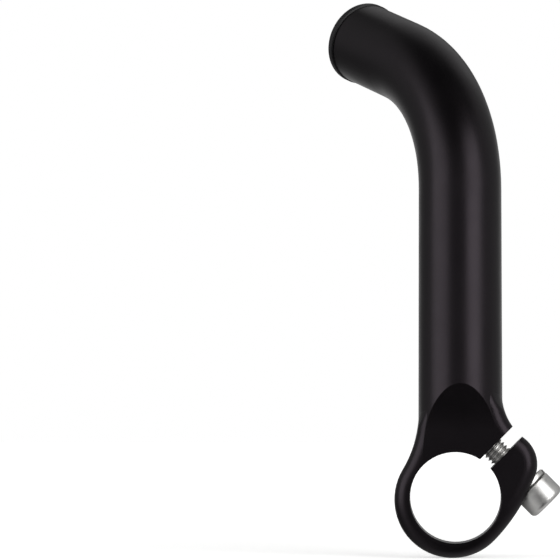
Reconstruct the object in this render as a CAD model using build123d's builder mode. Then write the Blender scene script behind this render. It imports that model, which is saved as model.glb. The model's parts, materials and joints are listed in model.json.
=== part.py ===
# Clamp-on bicycle bar end for the right-hand side: forged body, end plug, clamp screw, spring washer.
# The origin is the centre of the clamp bore. The handlebar lies along Y, the tube rises towards +Z,
# and its tip bends outward and forward, towards -X and +Y.

import os
from math import cos, radians, sin, sqrt, tan

from build123d import *

# Handlebar and clamp ring, whose outside is a little off the bore's centre
handlebar_d = 22.2
clamp_clearance = 0.1
clamp_width = 15.0
ring_wall = 3.15
ring_shift_x = -0.7
ring_shift_z = -0.5
bore_chamfer = 0.3
edge_radius = 3.3

# Slot between lug and jaw: its slope, its width, and how far its middle lies behind the bore's axis
slot_angle = 45.0
slot_width = 3.5
slot_offset = 0.65

# Jaw: the boss round the screw, its depth beyond the slot, and the long flank down to the ring
jaw_boss_r = 8.0
jaw_boss_depth = 2.8
jaw_boss_drop = 0.7
flank_radius = 46.0

# Tube: outside, wall, offset of its axis from the bore's axis, lean and bend
tube_d = 20.7
tube_wall = 2.5
tube_offset = 1.25
tube_rise = 22.8
tube_lean = 13.4
tube_straight = 55.5
bend_radius = 45.5
tip_length = 17.4
tip_heading = 35.0
tip_elevation = 18.1
hollow_floor = 13.0
tube_edge = 0.35

# Neck between tube and clamp: flare radii of the outline, how the tube's round corners fade out,
# how low the tube reaches inside it, and the blend along its seams
left_flare = 28.0
right_flare = 13.5
left_fade_radius = 18.0
right_fade_radius = 12.0
left_fade_height = 22.0
right_fade_height = 26.0
neck_sink = 0.1
neck_foot = 7.0
neck_blend = 2.5
seam_tolerance = 0.01

# Flat in front of the neck, which runs out through the tube as a cove
cove_start = 17.0
cove_radius = 25.0
cove_slope = 12.5

# Clamp screw, M6 x 25 with a cylinder head, and the holes that it needs
screw_d = 6.0
screw_length = 25.0
screw_height = 15.1
screw_point = 0.8
head_d = 10.0
head_h = 6.0
head_edge = 1.3
socket_width = 5.0
socket_depth = 3.0
drill_point_angle = 118.0
thread_clearance = 0.05
jaw_hole_clearance = 0.3
thread_runout = 2.0
seat_depth = 8.7
seat_clearance = 0.3

# Spring washer
washer_bore_clearance = 0.05
washer_d = 9.9
washer_thickness = 1.6
washer_split = 1.0
washer_split_angle = 25.0
washer_split_place = 60.0

# End plug
plug_overhang = 0.25
plug_rim = 2.3
plug_dome = 0.6
plug_edge = 0.5
plug_joint_chamfer = 0.35
spigot_length = 9.0
spigot_wall = 1.4
spigot_gap = 0.4
rib_count = 6
rib_width = 1.2
rib_clearance = 0.04

# What follows from these sizes; cuts that run out of the clamp go on as far as its reach
bore_r = handlebar_d / 2 + clamp_clearance
ring_r = bore_r + ring_wall
tube_r = tube_d / 2
hollow_r = tube_r - tube_wall
neck_r = tube_r - neck_sink
half_width = clamp_width / 2
reach = tube_rise + tube_straight

screw_dir = Vector(sin(radians(slot_angle)), 0, -cos(radians(slot_angle)))
slot_dir = Vector(cos(radians(slot_angle)), 0, sin(radians(slot_angle)))
lug_face = -slot_offset - slot_width / 2
jaw_face = -slot_offset + slot_width / 2
seat_face = jaw_face + seat_depth
head_face = seat_face + washer_thickness

tube_dir = Vector(0, sin(radians(tube_lean)), cos(radians(tube_lean)))
tip_dir = Vector(
    -sin(radians(tip_heading)) * cos(radians(tip_elevation)),
    cos(radians(tip_heading)) * cos(radians(tip_elevation)),
    sin(radians(tip_elevation)),
)
tube_base = Vector(tube_offset, 0, tube_rise)
bend_setback = bend_radius * tan(radians(tube_dir.get_angle(tip_dir)) / 2)
bend_corner = tube_base + tube_dir * (tube_straight + bend_setback)
tube_end = bend_corner + tip_dir * (bend_setback + tip_length)


def on_screw(depth):
    """A point on the screw's axis, counted along it from the bore's axis towards the head."""
    return slot_dir * screw_height + screw_dir * depth


def in_outline(point):
    """A point of space as a point of the clamp's outline, which lies in the XZ plane."""
    return Vector(point.X, point.Z)


def toward(start, end, distance):
    """The point that lies this far from start on the line to end."""
    return start + (end - start).normalized() * distance


def beside_line(line_x, side, radius, centre, gap):
    """Centre of an arc that touches the upright line at line_x and lies this far from another centre."""
    x = line_x + side * radius
    return Vector(x, centre.Y + sqrt(gap**2 - (x - centre.X) ** 2))


def beside_both(first, first_gap, second, second_gap):
    """Centre of an arc with these distances from two others, on the left of the way between them."""
    way = second - first
    along = (first_gap**2 - second_gap**2 + way.length**2) / (2 * way.length)
    across = sqrt(first_gap**2 - along**2)
    unit = way.normalized()
    return first + unit * along + Vector(-unit.Y, unit.X) * across


def neck_envelope():
    """Round flares about the tube's axis, left and right, in which the clamp's corners fade out."""
    tube_plane = Plane(origin=tube_base, x_dir=(1, 0, 0), z_dir=tube_dir)
    axis = Axis(origin=tube_base, direction=tube_dir)
    sides = ((-tube_plane.y_dir, right_fade_radius, right_fade_height),
             (tube_plane.y_dir, left_fade_radius, left_fade_height))
    with BuildPart() as envelope:
        for x_dir, radius, height in sides:
            start = height - tube_rise
            plane = Plane(origin=tube_base, x_dir=x_dir, z_dir=x_dir.cross(tube_dir))
            with BuildSketch(plane):
                with BuildLine():
                    core = Line((0, tube_straight), (neck_r, tube_straight))
                    side = Line(core @ 1, (neck_r, start))
                    flare = TangentArc(side @ 1, (neck_r + radius, start - radius), tangent=side % 1)
                    rest = Polyline(flare @ 1, (reach, start - radius), (reach, -reach), (0, -reach))
                    Line(rest @ 1, core @ 0)
                make_face()
            revolve(axis=axis, revolution_arc=180)
    return envelope.part


def clamp_outline():
    """Outline of the clamp: ring, jaw and neck, with every arc tangent to the next."""
    ring = Vector(ring_shift_x, ring_shift_z)
    boss = in_outline(slot_dir * (screw_height - jaw_boss_drop) + screw_dir * jaw_boss_depth)
    left_x = tube_offset - neck_r
    right_x = tube_offset + neck_r
    left = beside_line(left_x, -1, left_flare, ring, left_flare + ring_r)
    right = beside_line(right_x, 1, right_flare, boss, right_flare + jaw_boss_r)
    flank = beside_both(ring, flank_radius - ring_r, boss, flank_radius - jaw_boss_r)
    top = max(left.Y, right.Y) + tube_r
    with BuildSketch(Plane.XZ.offset(-half_width)) as outline:
        with BuildLine():
            left_side = Line((left_x, top), (left_x, left.Y))
            left_arc = TangentArc(left_side @ 1, toward(ring, left, ring_r), tangent=left_side % 1)
            ring_arc = TangentArc(left_arc @ 1, toward(flank, ring, flank_radius), tangent=left_arc % 1)
            flank_arc = TangentArc(ring_arc @ 1, toward(flank, boss, flank_radius), tangent=ring_arc % 1)
            boss_arc = TangentArc(flank_arc @ 1, toward(boss, right, jaw_boss_r), tangent=flank_arc % 1)
            right_arc = TangentArc(boss_arc @ 1, (right_x, right.Y), tangent=boss_arc % 1)
            right_side = Line(right_arc @ 1, (right_x, top))
            Line(right_side @ 1, left_side @ 0)
        make_face()
    return outline.sketch


def tube_path(start):
    """The tube's axis from this far above its base to the open end: run, bend and run."""
    return FilletPolyline(tube_base + tube_dir * start, bend_corner, tube_end, radius=bend_radius)


# Forged body: clamp and tube are one piece
with BuildPart() as bar_end_body:
    extrude(clamp_outline(), amount=clamp_width)
    rims = bar_end_body.faces().filter_by(Axis.Y).edges()
    fillet(rims, edge_radius)
    clamp = bar_end_body.part
    envelope = neck_envelope()
    add(envelope, mode=Mode.INTERSECT)
    seams = new_edges(clamp, envelope, combined=bar_end_body.part)

    # Tube, which runs down through the neck into the room of the bore, cut out further on
    sunk = (neck_foot - tube_rise) / cos(radians(tube_lean))
    with BuildLine(mode=Mode.PRIVATE) as outer_path:
        tube_path(sunk)
    with BuildSketch(Plane(origin=tube_base + tube_dir * sunk, x_dir=(1, 0, 0), z_dir=tube_dir)):
        Circle(tube_r)
    sweep(path=outer_path.wires()[0])
    tube_rim = bar_end_body.faces().sort_by_distance(tube_end)[0].edges()
    fillet(tube_rim, tube_edge)

    # Flat and cove in front of the neck
    slope = Vector(-sin(radians(cove_slope)), cos(radians(cove_slope)))
    cove_turn = Vector(-cove_radius * (1 - slope.Y), cove_radius * -slope.X)
    with BuildSketch(Plane.YZ):
        with BuildLine():
            flat = Line((-half_width, 0), (-half_width, cove_start))
            turn = TangentArc(flat @ 1, Vector(-half_width, cove_start) + cove_turn, tangent=flat % 1)
            run = Line(turn @ 1, turn @ 1 + slope * tube_d)
            Polyline(run @ 1, (-reach, (run @ 1).Y), (-reach, 0), flat @ 0)
        make_face()
    extrude(amount=tube_d, both=True, mode=Mode.SUBTRACT)

    # Blend along the seams that the round flares leave on the clamp's corners
    ridges = bar_end_body.edges().filter_by(
        lambda edge: edge.length > neck_blend
        and any(seam.distance_to(edge @ 0.5) < seam_tolerance for seam in seams)
    )
    fillet(ridges, neck_blend)

    # Hollow of the tube
    with BuildLine(mode=Mode.PRIVATE) as inner_path:
        tube_path(hollow_floor)
    with BuildSketch(Plane(origin=tube_base + tube_dir * hollow_floor, x_dir=(1, 0, 0), z_dir=tube_dir)):
        Circle(hollow_r)
    sweep(path=inner_path.wires()[0], mode=Mode.SUBTRACT)

    # Clamp bore with its chamfered rims
    with BuildSketch(Plane.XY):
        with BuildLine():
            Polyline(
                (0, -reach),
                (bore_r + bore_chamfer + reach - half_width, -reach),
                (bore_r, bore_chamfer - half_width),
                (bore_r, half_width - bore_chamfer),
                (bore_r + bore_chamfer + reach - half_width, reach),
                (0, reach),
                close=True,
            )
        make_face()
    revolve(axis=Axis.Y, mode=Mode.SUBTRACT)

    # Slot
    with BuildSketch(Plane(origin=-screw_dir * slot_offset, x_dir=slot_dir, z_dir=(0, -1, 0))):
        with Locations((reach / 2, 0)):
            Rectangle(reach, slot_width)
    extrude(amount=clamp_width, both=True, mode=Mode.SUBTRACT)

    # Spot face for the washer, clearance hole through the jaw, tapped hole in the lug
    with Locations(Plane(origin=on_screw(seat_face), x_dir=(0, 1, 0), z_dir=screw_dir)):
        Cylinder(
            head_d / 2 + seat_clearance,
            reach,
            align=(Align.CENTER, Align.CENTER, Align.MIN),
            mode=Mode.SUBTRACT,
        )
        Cylinder(
            screw_d / 2 + jaw_hole_clearance,
            seat_depth,
            align=(Align.CENTER, Align.CENTER, Align.MAX),
            mode=Mode.SUBTRACT,
        )
    hole_r = screw_d / 2 + thread_clearance
    hole_depth = screw_length + lug_face - head_face + thread_runout
    drill_point = hole_r / tan(radians(drill_point_angle / 2))
    with BuildSketch(Plane(origin=on_screw(lug_face), x_dir=(0, 1, 0), z_dir=-slot_dir)):
        with BuildLine():
            Polyline(
                (0, slot_width / 2),
                (hole_r, slot_width / 2),
                (hole_r, -hole_depth),
                (0, -hole_depth - drill_point),
                close=True,
            )
        make_face()
    revolve(axis=Axis(origin=on_screw(lug_face), direction=screw_dir), mode=Mode.SUBTRACT)

bar_end_body.part.label = "bar_end_body"


# Socket head cap screw
screw_seat = Plane(origin=on_screw(head_face), x_dir=(0, 1, 0), z_dir=screw_dir)
with BuildPart() as clamp_bolt:
    with BuildSketch(screw_seat):
        Circle(head_d / 2)
    extrude(amount=head_h)
    fillet(clamp_bolt.edges().sort_by(Axis(origin=on_screw(0), direction=screw_dir))[-1], head_edge)
    with BuildSketch(screw_seat.offset(head_h)):
        RegularPolygon(radius=socket_width / 2, side_count=6, major_radius=False)
    extrude(amount=-socket_depth, mode=Mode.SUBTRACT)
    socket_floor = screw_seat.offset(head_h - socket_depth)
    socket_point = socket_width / 2 / tan(radians(drill_point_angle / 2))
    with Locations(socket_floor):
        Cone(
            0,
            socket_width / 2,
            socket_point,
            align=(Align.CENTER, Align.CENTER, Align.MAX),
            mode=Mode.SUBTRACT,
        )
    with BuildSketch(screw_seat):
        Circle(screw_d / 2)
    extrude(amount=-screw_length)
    chamfer(clamp_bolt.edges().sort_by(Axis(origin=on_screw(0), direction=screw_dir))[0], screw_point)

clamp_bolt.part.label = "clamp_bolt"


# Split spring washer between the jaw and the screw's head
washer_seat = Plane(origin=on_screw(seat_face), x_dir=slot_dir, z_dir=screw_dir)
washer_bore_r = screw_d / 2 + washer_bore_clearance
with BuildPart() as lock_washer:
    with BuildSketch(washer_seat):
        Circle(washer_d / 2)
        Circle(washer_bore_r, mode=Mode.SUBTRACT)
    extrude(amount=washer_thickness)
    with Locations(washer_seat.offset(washer_thickness / 2)):
        with PolarLocations(washer_bore_r, 1, start_angle=washer_split_place):
            Box(
                washer_d / 2,
                washer_split,
                2 * washer_thickness,
                rotation=(washer_split_angle, 0, 0),
                mode=Mode.SUBTRACT,
            )

lock_washer.part.label = "lock_washer"


# End plug: a domed rim over the tube's end, and a ribbed spigot that grips inside the tube
plug_r = tube_r + plug_overhang
spigot_r = hollow_r - spigot_gap
rib_reach = sqrt((hollow_r - rib_clearance) ** 2 - (rib_width / 2) ** 2)
plug_side = tube_dir.cross(tip_dir).normalized()
plug_seat = Plane(origin=tube_end, x_dir=plug_side, z_dir=tip_dir)
plug_axis = Axis(origin=tube_end, direction=tip_dir)
with BuildPart() as end_plug:
    with BuildSketch(Plane(origin=tube_end, x_dir=plug_side, z_dir=plug_side.cross(tip_dir))):
        with BuildLine():
            dome = TangentArc((0, plug_rim + plug_dome), (plug_r, plug_rim), tangent=(1, 0))
            Polyline(
                dome @ 1,
                (plug_r, plug_joint_chamfer),
                (plug_r - plug_joint_chamfer, 0),
                (0, 0),
                dome @ 0,
            )
        make_face()
    revolve(axis=plug_axis)
    rim_edges = end_plug.edges().filter_by(lambda edge: edge.is_closed)
    fillet(rim_edges.sort_by(plug_axis)[-1], plug_edge)
    with BuildSketch(plug_seat):
        Circle(spigot_r)
        with PolarLocations(0, rib_count):
            with Locations((rib_reach / 2, 0)):
                Rectangle(rib_reach, rib_width)
    extrude(amount=-spigot_length)
    with BuildSketch(plug_seat):
        Circle(spigot_r - spigot_wall)
    extrude(amount=-spigot_length, mode=Mode.SUBTRACT)

end_plug.part.label = "end_plug"


os.makedirs("parts", exist_ok=True)
for piece in (bar_end_body, end_plug, clamp_bolt, lock_washer):
    export_step(piece.part, f"parts/{piece.part.label}.step")
    print(piece.part.label, round(piece.part.volume), "mm3")
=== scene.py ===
# %% [markdown]
# # A bicycle bar end, photographed in a small white studio
#
# A bar end is clamped to the end of a handlebar and gives the rider a second place to hold. This one
# is a forged aluminium tube with a split clamp, a screw that closes the clamp, a spring washer under
# the screw's head, and a plastic plug in the tube's open end.
#
# The engineering model gives each of these solids at its real size. This lesson dresses it: it gives
# the solids their real surfaces, models the screw's fine thread, the sprung washer and the plug's
# open joint, and sets up the light and the camera. The first cell loads the solids and remembers the
# box around them, because nothing that is added may stick out of it.

# %% Load the engineering model
import json
from math import cos, hypot, pi, radians, sin, tan

import bmesh
import bpy
from mathutils import Matrix, Vector


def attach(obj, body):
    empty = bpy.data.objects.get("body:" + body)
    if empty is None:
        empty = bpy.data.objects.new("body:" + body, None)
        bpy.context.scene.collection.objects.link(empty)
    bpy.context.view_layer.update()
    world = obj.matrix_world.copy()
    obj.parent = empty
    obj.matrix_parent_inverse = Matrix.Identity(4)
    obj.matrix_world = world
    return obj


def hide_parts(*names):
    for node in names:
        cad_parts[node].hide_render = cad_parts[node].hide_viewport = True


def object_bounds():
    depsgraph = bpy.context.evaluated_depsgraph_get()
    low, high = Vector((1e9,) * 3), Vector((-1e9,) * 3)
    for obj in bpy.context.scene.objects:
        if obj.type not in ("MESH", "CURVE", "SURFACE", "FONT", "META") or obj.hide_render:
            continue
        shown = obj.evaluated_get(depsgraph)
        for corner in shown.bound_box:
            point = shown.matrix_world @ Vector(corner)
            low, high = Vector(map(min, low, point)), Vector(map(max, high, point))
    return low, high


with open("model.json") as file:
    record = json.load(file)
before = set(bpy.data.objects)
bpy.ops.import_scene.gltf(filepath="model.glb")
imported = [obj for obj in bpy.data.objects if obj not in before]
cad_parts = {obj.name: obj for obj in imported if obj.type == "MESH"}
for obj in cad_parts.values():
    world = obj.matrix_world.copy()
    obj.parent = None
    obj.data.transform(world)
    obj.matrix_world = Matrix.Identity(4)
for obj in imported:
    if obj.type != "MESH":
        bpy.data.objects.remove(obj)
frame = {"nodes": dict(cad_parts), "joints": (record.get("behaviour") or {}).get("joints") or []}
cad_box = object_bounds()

print("solids:", sorted(frame["nodes"]))

# %% [markdown]
# Blender counts in metres, and the parts of a bicycle are drawn in millimetres. One value turns the
# one into the other, so that each size below can be written as it stands on a drawing.

# %% Millimetres, and the size of the whole object
mm = 0.001
box_low, box_high = cad_box
print("size in mm:", [round((high - low) / mm, 1) for low, high in zip(box_low, box_high)])

# %% [markdown]
# ## Colours and materials
#
# A colour is easiest to pick as a hex value, as on a screen, but the renderer adds up light, so it
# needs linear values. One function turns hex to linear. A second one adds a shader node with its
# settings and its links, and a third starts a material with the one shader that all of them use.

# %% Helpers for colours and shader nodes
def linear(hex_colour):
    """A hex colour, as picked on a screen, in the linear values that the shader works with."""
    channels = [int(hex_colour[i:i + 2], 16) / 255 for i in (1, 3, 5)]
    opaque = 1.0
    light = [c / 12.92 if c <= 0.04045 else ((c + 0.055) / 1.055) ** 2.4 for c in channels]
    return (*light, opaque)


def add_node(tree, kind, settings=None, values=None, links=None):
    """Adds a node of this kind, sets its options and its sockets, and links other nodes into it."""
    node = tree.nodes.new(kind)
    for name, setting in (settings or {}).items():
        setattr(node, name, setting)
    for socket, value in (values or {}).items():
        node.inputs[socket].default_value = value
    for socket, source in (links or {}).items():
        tree.links.new(source, node.inputs[socket])
    return node


def start_material(name, **values):
    """A new material with a Principled shader, whose sockets get these values."""
    material = bpy.data.materials.new(name)
    material.use_nodes = True
    shader = material.node_tree.nodes["Principled BSDF"]
    for socket, value in values.items():
        shader.inputs[socket.replace("_", " ")].default_value = value
    return material, material.node_tree, shader


print("black as linear light:", [round(c, 4) for c in linear("#141315")])

# %% [markdown]
# ## Black anodised aluminium
#
# The body is forged aluminium that was blasted with fine grit, etched and anodised black. The oxide
# is a clear, hard, dyed layer, so to the eye it isn't a metal any more: it is a black surface with a
# soft shine on top, and the shader has no metallic part. The blasted surface swallows much of the
# shine, so its specular level is low, and the dye gives what is left a faint warm purple tint. The
# grain is a noise pattern that tilts the surface a little, and a second, larger noise makes the
# shine uneven, as a hand and a cloth leave it.

# %% The finish of the forged body
def make_anodised_body():
    """Bead-blasted aluminium with a black dyed oxide layer."""
    material, tree, shader = start_material(
        "black_anodised_aluminium", Base_Color=linear("#080708"), IOR=1.5, Roughness=0.34,
        Specular_IOR_Level=0.24, Specular_Tint=(1.0, 0.85, 0.98, 1.0),
    )
    grain_size = 0.35 * mm
    pit_depth = 0.006 * mm
    patch_size = 9 * mm
    place = add_node(tree, "ShaderNodeTexCoord")
    grain = add_node(
        tree, "ShaderNodeTexNoise",
        values={"Scale": 1 / grain_size, "Detail": 2.0, "Roughness": 0.6},
        links={"Vector": place.outputs["Object"]},
    )
    pits = add_node(
        tree, "ShaderNodeBump",
        values={"Strength": 1.0, "Distance": pit_depth},
        links={"Height": grain.outputs["Fac"]},
    )
    patches = add_node(
        tree, "ShaderNodeTexNoise",
        values={"Scale": 1 / patch_size, "Detail": 3.0, "Roughness": 0.5},
        links={"Vector": place.outputs["Object"]},
    )
    shine = add_node(
        tree, "ShaderNodeMapRange",
        values={"From Min": 0.3, "From Max": 0.7, "To Min": 0.31, "To Max": 0.37},
        links={"Value": patches.outputs["Fac"]},
    )
    dye = add_node(
        tree, "ShaderNodeMix",
        settings={"data_type": "RGBA"},
        values={"A": linear("#060506"), "B": linear("#0a090a")},
        links={"Factor": grain.outputs["Fac"]},
    )
    tree.links.new(dye.outputs["Result"], shader.inputs["Base Color"])
    tree.links.new(shine.outputs["Result"], shader.inputs["Roughness"])
    tree.links.new(pits.outputs["Normal"], shader.inputs["Normal"])
    return material


anodised_body = make_anodised_body()
print("made", anodised_body.name)

# %% [markdown]
# ## Moulded plastic
#
# The plug is moulded in black polyethylene. Its mould was spark-eroded, which leaves an even, fine
# texture and a matt surface that is a shade lighter than the anodised tube beside it. The texture is
# a Voronoi pattern, whose cells look like the small craters that sparks leave. A noise pattern would
# look like the blasted metal once more.

# %% The finish of the end plug
def make_plug_plastic():
    """Matt black polyethylene from a textured mould."""
    material, tree, shader = start_material(
        "moulded_polyethylene", Base_Color=linear("#171618"), IOR=1.51, Roughness=0.48,
        Specular_IOR_Level=0.3,
    )
    texture_size = 0.25 * mm
    texture_depth = 0.008 * mm
    place = add_node(tree, "ShaderNodeTexCoord")
    texture = add_node(
        tree, "ShaderNodeTexVoronoi",
        values={"Scale": 1 / texture_size},
        links={"Vector": place.outputs["Object"]},
    )
    relief = add_node(
        tree, "ShaderNodeBump",
        values={"Strength": 0.7, "Distance": texture_depth},
        links={"Height": texture.outputs["Distance"]},
    )
    tone = add_node(
        tree, "ShaderNodeMix",
        settings={"data_type": "RGBA"},
        values={"A": linear("#141315"), "B": linear("#1b1a1c")},
        links={"Factor": texture.outputs["Distance"]},
    )
    tree.links.new(tone.outputs["Result"], shader.inputs["Base Color"])
    tree.links.new(relief.outputs["Normal"], shader.inputs["Normal"])
    return material


plug_plastic = make_plug_plastic()
print("made", plug_plastic.name)

# %% [markdown]
# ## Zinc-plated steel
#
# The screw and its washer are steel with a bright layer of zinc. Zinc is a metal, so its colour is
# the colour of its reflection, a neutral pale grey. The plating grows in tiny crystals that blur the
# reflection a little and unevenly, and they dim it in places.

# %% The finish of the screw and the washer
def make_plated_steel():
    """Bright zinc plating on a machined steel surface."""
    material, tree, shader = start_material(
        "zinc_plated_steel", Base_Color=linear("#dad9d7"), Metallic=1.0, Roughness=0.39,
    )
    crystal_size = 0.12 * mm
    crystal_depth = 0.002 * mm
    cloud_size = 1.1 * mm
    place = add_node(tree, "ShaderNodeTexCoord")
    crystals = add_node(
        tree, "ShaderNodeTexNoise",
        values={"Scale": 1 / crystal_size, "Detail": 2.0},
        links={"Vector": place.outputs["Object"]},
    )
    clouds = add_node(
        tree, "ShaderNodeTexNoise",
        values={"Scale": 1 / cloud_size, "Detail": 3.0},
        links={"Vector": place.outputs["Object"]},
    )
    relief = add_node(
        tree, "ShaderNodeBump",
        values={"Strength": 1.0, "Distance": crystal_depth},
        links={"Height": crystals.outputs["Fac"]},
    )
    blur = add_node(
        tree, "ShaderNodeMapRange",
        values={"From Min": 0.3, "From Max": 0.7, "To Min": 0.34, "To Max": 0.44},
        links={"Value": clouds.outputs["Fac"]},
    )
    tint = add_node(
        tree, "ShaderNodeMix",
        settings={"data_type": "RGBA"},
        values={"A": linear("#cbcac9"), "B": linear("#e6e5e2")},
        links={"Factor": clouds.outputs["Fac"]},
    )
    tree.links.new(tint.outputs["Result"], shader.inputs["Base Color"])
    tree.links.new(blur.outputs["Result"], shader.inputs["Roughness"])
    tree.links.new(relief.outputs["Normal"], shader.inputs["Normal"])
    return material


plated_steel = make_plated_steel()
print("made", plated_steel.name)

# %% [markdown]
# ## The forged body
#
# The body already has its true shape, so it keeps its own mesh and only gets its finish. A solid's
# material sits in its slots, and giving the slot another material is all it takes. The plug, the
# screw and the washer are made again below, with more detail than their solids have.

# %% Give the body its finish
body = frame["nodes"]["bar_end_body"]
for slot in body.material_slots:
    slot.material = anodised_body
print("bar_end_body wears", anodised_body.name)

# %% [markdown]
# ## The clamp screw's place
#
# The screw sits in the clamp at a slant. Its joint in the engineering model says where its axis
# runs, and the solids say how far it reaches. New pieces are modelled upright, with the screw's axis
# as Z and the depth counted along it, and one matrix then lays them into place.

# %% Measure the screw and the washer along the screw's axis
turn_joint = next(joint for joint in frame["joints"] if joint["name"] == "screw_turn")
axis_point = Vector(turn_joint["pos_m"])
axis_dir = Vector(turn_joint["axis"]).normalized()


def span_along_axis(node):
    """The lowest and highest depth of a solid along the screw's axis, in metres."""
    depths = [(vertex.co - axis_point).dot(axis_dir) for vertex in frame["nodes"][node].data.vertices]
    return min(depths), max(depths)


screw_tip, head_top = span_along_axis("clamp_bolt")
seat_face, head_face = span_along_axis("lock_washer")
side_dir = Vector((0, -1, 0))
upright_to_place = Matrix.Translation(axis_point) @ Matrix(
    (side_dir.cross(axis_dir), side_dir, axis_dir)
).transposed().to_4x4()
print("screw from", round(screw_tip / mm, 2), "to", round(head_top / mm, 2), "mm, washer at",
      round(seat_face / mm, 2), "to", round(head_face / mm, 2), "mm")

# %% [markdown]
# ## The thread
#
# An M6 thread climbs 1 mm in each turn, with flanks at 60 degrees to each other. A bump pattern would
# do for a thread that nobody sees, but this one shows in the clamp's slot, where its crests stand out
# from its outline. So it is real: its section over one turn is a short chain of points, and the spin
# operator turns that chain about the axis and lifts it a little at each step, as a thread is cut. The
# top of each turn meets the bottom of the next, so merging the doubles closes the surface.

# %% Sweep the thread
pitch = 1.0 * mm
crest_r = 2.97 * mm
root_r = 2.39 * mm
flank_slope = tan(radians(30))
steps_per_turn = 48
spare_turns = 2
thread_weld = 0.002 * mm


def thread_section():
    """Radius and height of one turn's section, from root to root, with rounded crest and root."""
    middle = pitch / 2
    crest_flat = pitch / 16
    crest_round = 0.03 * mm
    flank = (crest_r - root_r) * flank_slope
    rising = [
        (root_r, 0.0),
        (root_r + crest_round / 2, middle - crest_flat - flank),
        (crest_r - crest_round, middle - crest_flat - crest_round * flank_slope),
        (crest_r, middle - crest_flat / 2),
    ]
    falling = [(radius, pitch - height) for radius, height in reversed(rising)]
    return rising + falling


def sweep_thread(bottom, top):
    """A bmesh with the open thread surface between two depths, longer than needed at both ends."""
    bm = bmesh.new()
    start = bottom - spare_turns * pitch
    chain = [bm.verts.new((radius, 0, start + height)) for radius, height in thread_section()]
    edges = [bm.edges.new(pair) for pair in zip(chain, chain[1:])]
    turns = int((top - bottom) / pitch) + 2 * spare_turns
    bmesh.ops.spin(
        bm, geom=chain + edges, cent=(0, 0, 0), axis=(0, 0, 1),
        dvec=(0, 0, pitch / steps_per_turn), angle=2 * pi * turns,
        steps=steps_per_turn * turns, use_merge=False, use_duplicate=False,
    )
    bmesh.ops.remove_doubles(bm, verts=bm.verts, dist=thread_weld)
    return bm


print("turns of thread:", round((head_face - screw_tip) / pitch, 1))

# %% [markdown]
# ## The ends of the thread
#
# The thread surface is longer than the screw, and two cuts give it its length. Before that, its tip
# is pushed in to a cone, the chamfer that helps a screw to find its hole, and towards the head the
# groove runs out into a plain neck, because a thread die can't cut right up to the head. Both are
# made by moving each point towards or away from the axis, by how deep it lies.

# %% Shape and cut the ends
neck_r = 2.97 * mm
neck_length = 1.4 * mm
point_r = 2.15 * mm
cut_tolerance = 0.0005 * mm


def shape_thread_ends(bm):
    """Pushes the thread in to a cone at the tip, and fills its groove towards the head."""
    groove_end = head_face - 2 * neck_length
    for vertex in bm.verts:
        radius = hypot(vertex.co.x, vertex.co.y)
        above_tip = vertex.co.z - screw_tip
        run_out = min(max((vertex.co.z - groove_end) / neck_length, 0), 1)
        wanted = radius + (neck_r - radius) * run_out
        wanted = min(wanted, max(point_r + above_tip, point_r))
        vertex.co.x *= wanted / radius
        vertex.co.y *= wanted / radius


def cut_at(bm, depth, keep_above):
    """Cuts the mesh at a depth, throws one side away and returns the edges of the cut."""
    cut = bmesh.ops.bisect_plane(
        bm, geom=bm.verts[:] + bm.edges[:] + bm.faces[:], dist=cut_tolerance,
        plane_co=(0, 0, depth), plane_no=(0, 0, 1),
        clear_inner=keep_above, clear_outer=not keep_above,
    )
    return [part for part in cut["geom_cut"] if isinstance(part, bmesh.types.BMEdge)]


print("tip narrows to", round(2 * point_r / mm, 1), "mm")

# %% [markdown]
# ## The screw's head
#
# The head is a turned shape with a hexagon socket for the key. A turned profile could be spun, but a
# spin can't change from round to six-sided. So the head is a row of closed loops, circles outside
# and hexagons in the socket, and neighbouring loops are bridged with faces. Every loop has the same
# number of points, so the faces between two of them have four corners.

# %% Loops round the head and down its socket
head_r = 4.99 * mm
head_edge = 1.3 * mm
head_edge_steps = 8
under_edge = 0.3 * mm
under_edge_steps = 4
neck_fillet = 0.2 * mm
socket_flats = 5.0 * mm
socket_depth = 3.0 * mm
socket_chamfer = 0.3 * mm
socket_rim = 0.15 * mm
socket_floor_share = 0.9
segments = 96


def add_loop(bm, points):
    """A closed loop of edges through these points."""
    verts = [bm.verts.new(point) for point in points]
    return [bm.edges.new((a, b)) for a, b in zip(verts, verts[1:] + verts[:1])]


def circle(radius, depth):
    """Points of a circle about the axis."""
    angles = [2 * pi * i / segments for i in range(segments)]
    return [(radius * cos(a), radius * sin(a), depth) for a in angles]


def hexagon(flats, depth):
    """Points of a hexagon about the axis, one for each point of the circle."""
    points = []
    for i in range(segments):
        angle = 2 * pi * i / segments
        off_flat = (angle + pi / 6) % (pi / 3) - pi / 6
        radius = flats / 2 / cos(off_flat)
        points.append((radius * cos(angle), radius * sin(angle), depth))
    return points


def rounded_edges():
    """Circles round the head's lower edge, up its side and over its upper edge."""
    loops = []
    for i in range(1, under_edge_steps + 1):
        turn = radians(90) * i / under_edge_steps
        radius = head_r - under_edge * (1 - sin(turn))
        loops.append(circle(radius, head_face + under_edge * (1 - cos(turn))))
    for i in range(head_edge_steps + 1):
        turn = radians(90) * i / head_edge_steps
        radius = head_r - head_edge * (1 - cos(turn))
        loops.append(circle(radius, head_top - head_edge * (1 - sin(turn))))
    return loops


def head_loops():
    """Loops from the neck round the head and down the hexagon socket to its floor."""
    loops = [circle(neck_r + neck_fillet, head_face), circle(head_r - under_edge, head_face)]
    loops += rounded_edges()
    loops.append(circle(socket_flats / 2 / cos(pi / 6) + socket_rim, head_top))
    loops.append(hexagon(socket_flats, head_top - socket_chamfer))
    loops.append(hexagon(socket_flats, head_top - socket_depth))
    loops.append(circle(socket_flats / 2 * socket_floor_share, head_top - socket_depth))
    return loops


print("loops round the head:", len(head_loops()))

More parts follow.
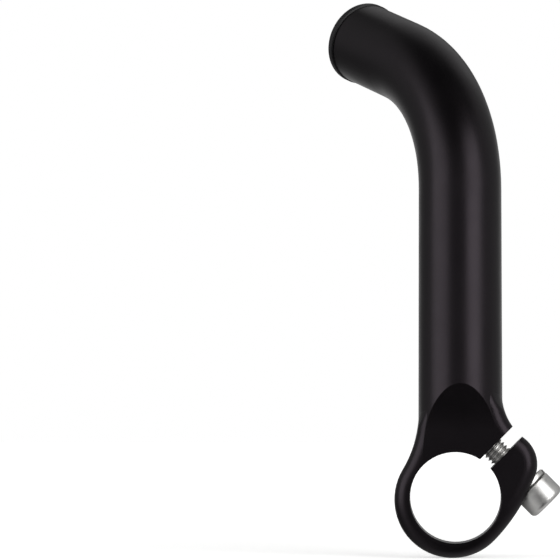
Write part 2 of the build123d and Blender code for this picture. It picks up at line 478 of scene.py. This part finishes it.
# %% [markdown]
# ## Turning a mesh into a piece
#
# A bmesh is only a list of points and faces. One helper makes it a piece: it marks the edges that
# are sharp, shades the rest smooth, gives the mesh its material and puts it into the scene. It also
# counts the edges that don't have two faces, because the skin of a solid part has none.

# %% Helper that finishes a piece
def finish_piece(name, bm, material, smooth_below):
    """Turns a bmesh into an object, with edges under this angle shaded smooth."""
    for edge in bm.edges:
        if len(edge.link_faces) == 2 and edge.calc_face_angle(0) > radians(smooth_below):
            edge.smooth = False
    for face in bm.faces:
        face.smooth = True
    mesh = bpy.data.meshes.new(name)
    bm.to_mesh(mesh)
    open_edges = sum(1 for edge in bm.edges if len(edge.link_faces) != 2)
    bm.free()
    mesh.materials.append(material)
    piece = bpy.data.objects.new(name, mesh)
    bpy.context.scene.collection.objects.link(piece)
    print(name, "faces:", len(mesh.polygons), "open edges:", open_edges)
    return piece


print("finishes ready:", anodised_body.name, plug_plastic.name, plated_steel.name)

# %% [markdown]
# ## The whole screw
#
# The screw is one closed skin, as it is one piece of steel: the thread's cut tip gets a flat end,
# the cut at the neck is bridged to the head's first loop, and the socket's floor ends in the shallow
# cone that a drill leaves. Two pieces pushed into each other would look the same from outside, but
# a weight or a section could not be worked out from them.

# %% Build the screw
neck_cut = 0.2 * mm
drill_half_angle = 59
screw_smoothing = 35


def build_screw():
    """The whole screw as one closed mesh, upright."""
    bm = sweep_thread(screw_tip, head_face)
    shape_thread_ends(bm)
    tip_edges = cut_at(bm, screw_tip, keep_above=True)
    bmesh.ops.contextual_create(bm, geom=tip_edges)
    last = cut_at(bm, head_face - neck_cut, keep_above=False)
    for points in head_loops():
        following = add_loop(bm, points)
        bmesh.ops.bridge_loops(bm, edges=last + following)
        last = following
    socket_point = socket_flats / 2 * socket_floor_share / tan(radians(drill_half_angle))
    pole = bm.verts.new((0, 0, head_top - socket_depth - socket_point))
    for edge in last:
        bm.faces.new((edge.verts[0], edge.verts[1], pole))
    bmesh.ops.recalc_face_normals(bm, faces=bm.faces)
    return bm


screw_mesh = build_screw()
screw_mesh.transform(upright_to_place)
clamp_screw = finish_piece("clamp_screw", screw_mesh, plated_steel, screw_smoothing)
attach(clamp_screw, "screw")
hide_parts("clamp_bolt")

# %% [markdown]
# ## The spring washer
#
# A spring washer is one turn of rectangular steel bar, split at a slant, with its two ends sprung
# apart. The screw isn't tight here, so one end still stands off. A flat ring with a slit would be
# simpler, but the sprung ends show beside the head. So the bar's outline is spun through almost a
# full turn while it climbs, and its two open ends are then closed with faces. The three values for
# the split are in degrees.

# %% Build the washer
washer_inner_r = 3.1 * mm
washer_outer_r = 4.93 * mm
washer_height = 1.22 * mm
washer_corner = 0.12 * mm
washer_steps = 120
washer_smoothing = 50
split_gap = 9.0
split_slant = 25.0
split_place = 20.0


def washer_section():
    """Radius and height of the bar's outline, a rectangle with rounded corners."""
    corners = [
        (washer_inner_r, 0.0, 180),
        (washer_outer_r, 0.0, 270),
        (washer_outer_r, washer_height, 0),
        (washer_inner_r, washer_height, 90),
    ]
    points = []
    for radius, height, start in corners:
        centre_r = radius + (washer_corner if radius == washer_inner_r else -washer_corner)
        centre_z = height + (washer_corner if height == 0 else -washer_corner)
        for quarter_step in (0, 30, 60, 90):
            angle = radians(start + quarter_step)
            across = washer_corner * cos(angle)
            along = washer_corner * sin(angle)
            points.append((centre_r + across, centre_z + along))
    return points


def build_washer():
    """The sprung washer as one closed mesh, upright, with its lower end on the jaw."""
    bm = bmesh.new()
    verts = [bm.verts.new((radius, 0, height)) for radius, height in washer_section()]
    edges = [bm.edges.new((a, b)) for a, b in zip(verts, verts[1:] + verts[:1])]
    rise = head_face - seat_face - washer_height
    spun = bmesh.ops.spin(
        bm, geom=verts + edges, cent=(0, 0, 0), axis=(0, 0, 1),
        dvec=(0, 0, rise / washer_steps), angle=radians(360 - split_gap),
        steps=washer_steps, use_merge=False, use_duplicate=False,
    )
    last = [part for part in spun["geom_last"] if isinstance(part, bmesh.types.BMEdge)]
    bmesh.ops.contextual_create(bm, geom=edges)
    bmesh.ops.contextual_create(bm, geom=last)
    for vertex in bm.verts:
        radius = hypot(vertex.co.x, vertex.co.y)
        slant = tan(radians(split_slant)) * vertex.co.z / radius
        vertex.co = Matrix.Rotation(slant, 3, "Z") @ vertex.co
    turn_split = Matrix.Rotation(radians(split_place), 4, "Z")
    bm.transform(Matrix.Translation((0, 0, seat_face)) @ turn_split)
    bmesh.ops.recalc_face_normals(bm, faces=bm.faces)
    return bm


washer_mesh = build_washer()
washer_mesh.transform(upright_to_place)
spring_washer = finish_piece("spring_washer", washer_mesh, plated_steel, washer_smoothing)
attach(spring_washer, "washer")
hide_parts("lock_washer")

# %% [markdown]
# ## The plug's open joint
#
# The plug is pushed into the tube, and the lip of its flange never lies quite flat on the tube's
# end. A thin wedge of air stays open under it, and from outside that is a fine black line. The joint
# is really opened here: the plug's solid is copied and merged into one skin, and the lower edge of
# its lip is lifted a little along the plug's axis. Points higher up the lip are lifted less, so the
# lip keeps its shape. A painted line would be quicker, but it would stay flat from close by.

# %% Open the joint under the plug's lip
joint_gap = 0.4 * mm
lip_squeeze = 0.6
lip_inner_r = 9.5 * mm
spigot_length = 9.0 * mm
skin_weld = 0.001 * mm
plug_smoothing = 30
tip_heading = radians(35)
tip_rise = radians(18.1)
level_part = cos(tip_rise)
plug_dir = Vector(
    (-sin(tip_heading) * level_part, cos(tip_heading) * level_part, sin(tip_rise))
)


def build_plug():
    """The plug's solid as one closed skin, with the lower edge of its lip lifted off the tube."""
    bm = bmesh.new()
    bm.from_mesh(frame["nodes"]["end_plug"].data)
    bmesh.ops.remove_doubles(bm, verts=bm.verts, dist=skin_weld)
    centre = sum((vertex.co for vertex in bm.verts), Vector()) / len(bm.verts)
    seat = min(vertex.co.dot(plug_dir) for vertex in bm.verts) + spigot_length
    moved = 0
    for vertex in bm.verts:
        off_axis = vertex.co - centre
        radius = (off_axis - plug_dir * off_axis.dot(plug_dir)).length
        height = vertex.co.dot(plug_dir) - seat
        if radius > lip_inner_r and height < joint_gap:
            vertex.co += plug_dir * (joint_gap - height * lip_squeeze)
            moved += 1
    print("vertices lifted:", moved)
    return bm


joint_plug = finish_piece("joint_plug", build_plug(), plug_plastic, plug_smoothing)
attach(joint_plug, "bar_end")
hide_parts("end_plug")

# %% [markdown]
# ## The floor
#
# Small products are photographed on a white sweep of paper. Here the floor is a large pale plane at
# the object's lowest point. It is lit like any other surface, so it keeps the object's shadow, and a
# little light of its own lifts it to white, more so far away. The Light Path node keeps that light
# from shining on the object. The object doesn't mirror the floor either, because the room below
# takes its place in the reflections.

# %% Lay the floor
floor_height = box_low.z
floor_size = 6.0
lift_near = 0.58
lift_far = 1.0
near_distance = 80 * mm
far_distance = 600 * mm


def either(tree, one, other):
    """The larger of two values, which says whether a ray is of one kind or the other."""
    return add_node(
        tree, "ShaderNodeMath", settings={"operation": "MAXIMUM"}, links={0: one, 1: other},
    ).outputs["Value"]


def make_floor_paint():
    """Pale matt paper, which the camera sees as white outside the shadow."""
    material, tree, shader = start_material(
        "white_paper", Base_Color=linear("#f0f0ef"), Roughness=0.9,
    )
    rays = add_node(tree, "ShaderNodeLightPath")
    place = add_node(tree, "ShaderNodeTexCoord")
    distance = add_node(
        tree, "ShaderNodeVectorMath", settings={"operation": "LENGTH"},
        links={"Vector": place.outputs["Object"]},
    )
    strength = add_node(
        tree, "ShaderNodeMapRange", settings={"interpolation_type": "SMOOTHSTEP"},
        values={
            "From Min": near_distance, "From Max": far_distance,
            "To Min": lift_near, "To Max": lift_far,
        },
        links={"Value": distance.outputs["Value"]},
    )
    seen = either(tree, rays.outputs["Is Camera Ray"], rays.outputs["Is Glossy Ray"])
    seen = either(tree, seen, rays.outputs["Is Transmission Ray"])
    lift = add_node(
        tree, "ShaderNodeMath", settings={"operation": "MULTIPLY"},
        links={0: seen, 1: strength.outputs["Result"]},
    )
    shader.inputs["Emission Color"].default_value = (1, 1, 1, 1)
    tree.links.new(lift.outputs["Value"], shader.inputs["Emission Strength"])
    return material


def make_floor():
    """A flat square of paper under the object."""
    bm = bmesh.new()
    bmesh.ops.create_grid(bm, x_segments=1, y_segments=1, size=floor_size / 2)
    bmesh.ops.translate(bm, verts=bm.verts, vec=(0, 0, floor_height))
    mesh = bpy.data.meshes.new("floor")
    bm.to_mesh(mesh)
    bm.free()
    mesh.materials.append(make_floor_paint())
    floor = bpy.data.objects.new("floor", mesh)
    bpy.context.scene.collection.objects.link(floor)
    floor.visible_glossy = False


make_floor()
print("floor at", round(floor_height / mm, 2), "mm")

# %% [markdown]
# ## The room that the object mirrors
#
# A black object shows little of its own colour: what the eye reads is its reflections. So the world
# is white to the camera, but the object mirrors a dim room. It could be modelled as walls and cards.
# Here each surface of the room is a level of light that fades softly around a direction, which does
# the same with no objects that get in the way of other views.
#
# Each row holds a direction, the two closenesses between which the level fades, and the level before
# and after. Closeness is 1 along the direction and 0 at right angles to it. X is right, Y is away
# from the camera and Z is up.

# %% The levels of the room
behind = (0, 1, 0)
above = (0, 0, 1)
walls = [
    ((0.05, -0.25, 0.97), 0.66, 0.84, 0.44, 0.0),    # dark ceiling
    ((0.0, -0.85, -0.53), 0.65, 0.95, 1.0, 0.05),    # dark floor in front
    (behind, 0.0, 0.8, 1.0, 0.45),                   # dimmer towards the back
    ((-0.83, 0.33, -0.45), 0.78, 0.97, 1.0, 0.4),    # dark corner low at the left
    ((-0.4, 0.55, -0.73), 0.8, 0.97, 1.0, 0.4),      # dark floor under the bent tip
    ((-0.1, 0.8, 0.6), 0.82, 0.97, 1.0, 0.4),        # dark back wall up high
]
floor_behind = [
    (above, -0.75, -0.4, 0.22, 0.0),
    (behind, -0.3, 0.1, 0.0, 1.0),
]
paper_sweep = [
    (behind, 0.65, 1.0, 0.0, 0.5),
    (above, 0.0, 0.3, 1.0, 0.0),
    (above, -0.5, -0.1, 0.0, 1.0),
]
right_wall = [
    ((0.6, 0.8, 0.0), 0.3, 0.95, 0.0, 0.1),
]
left_card = [
    ((-0.52, -0.68, -0.52), 0.85, 0.97, 0.0, 0.3),
]
room = [walls, floor_behind, paper_sweep, right_wall, left_card]
print("surfaces of the room:", len(room), "fades:", sum(len(surface) for surface in room))

# %% [markdown]
# The fades of one surface are multiplied, so each can only dim it, and the surfaces are added up.
# The Light Path node then picks plain white for what the camera sees behind the object.

# %% Build the world
def add_fade(tree, direction, towards, start, end, level_before, level_after):
    """A level of light that fades from one value to another around a direction."""
    closeness = add_node(
        tree, "ShaderNodeVectorMath", settings={"operation": "DOT_PRODUCT"},
        values={1: Vector(towards).normalized()}, links={0: direction},
    )
    return add_node(
        tree, "ShaderNodeMapRange", settings={"interpolation_type": "SMOOTHSTEP"},
        values={
            "From Min": start, "From Max": end,
            "To Min": level_before, "To Max": level_after,
        },
        links={"Value": closeness.outputs["Value"]},
    ).outputs["Result"]


def combine(tree, operation, levels):
    """Adds or multiplies levels."""
    total = levels[0]
    for level in levels[1:]:
        total = add_node(
            tree, "ShaderNodeMath", settings={"operation": operation}, links={0: total, 1: level},
        ).outputs["Value"]
    return total


def make_world():
    """White to the camera, and a dim room to everything that mirrors it."""
    world = bpy.data.worlds.new("studio")
    world.use_nodes = True
    tree = world.node_tree
    background = tree.nodes["Background"]
    rays = add_node(tree, "ShaderNodeLightPath")
    direction = add_node(tree, "ShaderNodeTexCoord").outputs["Generated"]
    surfaces = []
    for surface in room:
        fades = [add_fade(tree, direction, *row) for row in surface]
        surfaces.append(combine(tree, "MULTIPLY", fades))
    level = add_node(
        tree, "ShaderNodeMix", values={"B": 1.0},
        links={
            "Factor": either(tree, rays.outputs["Is Camera Ray"], rays.outputs["Is Transmission Ray"]),
            "A": combine(tree, "ADD", surfaces),
        },
    )
    background.inputs["Color"].default_value = (1, 1, 1, 1)
    tree.links.new(level.outputs["Result"], background.inputs["Strength"])
    bpy.context.scene.world = world
    print("world nodes:", len(tree.nodes))


make_world()

# %% [markdown]
# ## Light
#
# The round tube shows two soft vertical bands of light, one left and one right of a dark middle. A
# round surface doubles the angle: a band at 28 degrees round the tube mirrors something that stands
# 56 degrees aside. So two tall softboxes stand left and right of the camera, and nothing bright
# stands near the camera itself. A third, weak one hangs high behind and catches the upper edges.
#
# A lamp's power is worked out from how bright its face should be, so that a softbox can change its
# size without changing the brightness of its reflection.

# %% Softboxes
softbox_distance = 0.8


def add_softbox(name, azimuth, elevation, width, height, radiance):
    """A rectangular lamp that faces the object. Azimuth 0 is the camera's side, 90 is the right."""
    a, e = radians(azimuth), radians(elevation)
    away = Vector((sin(a) * cos(e), -cos(a) * cos(e), sin(e)))
    middle = (box_low + box_high) / 2
    lamp = bpy.data.lights.new(name, "AREA")
    lamp.shape = "RECTANGLE"
    lamp.size = width
    lamp.size_y = height
    lamp.energy = radiance * pi * width * height
    softbox = bpy.data.objects.new(name, lamp)
    softbox.location = middle + away * softbox_distance
    softbox.rotation_euler = away.to_track_quat("Z", "Y").to_euler()
    softbox.visible_camera = False
    bpy.context.scene.collection.objects.link(softbox)
    print(name, "power in W:", round(lamp.energy, 2))


add_softbox("left_softbox", azimuth=-60, elevation=14, width=0.66, height=0.7, radiance=2.1)
add_softbox("right_softbox", azimuth=42, elevation=20, width=0.52, height=0.9, radiance=3.0)
add_softbox("top_softbox", azimuth=165, elevation=50, width=0.6, height=0.6, radiance=0.35)

# %% [markdown]
# ## Camera
#
# The photograph looks almost straight along the clamp's bore from about a metre away: the far rim of
# the bore hides just behind the near one. The object stands right of the picture's middle, so the
# camera stands just above the bore's axis and turns a little to the left and up. A long lens keeps
# the tube's sides nearly parallel, as the photograph shows them.

# %% Camera
camera_place = Vector((0, -1035, 23)) * mm
aim = Vector((-43.36, 0, 53.72)) * mm
lens_length = 268.9
sensor_width = 36.0

bpy.context.scene.view_settings.view_transform = "Standard"
camera_data = bpy.data.cameras.new("camera")
camera_data.sensor_width = sensor_width
camera_data.lens = lens_length
camera = bpy.data.objects.new("camera", camera_data)
camera.location = camera_place
camera.rotation_euler = (camera_place - aim).to_track_quat("Z", "Y").to_euler()
bpy.context.scene.collection.objects.link(camera)
bpy.context.scene.camera = camera
print("camera", round((camera_place - aim).length / mm), "mm from the point it looks at")
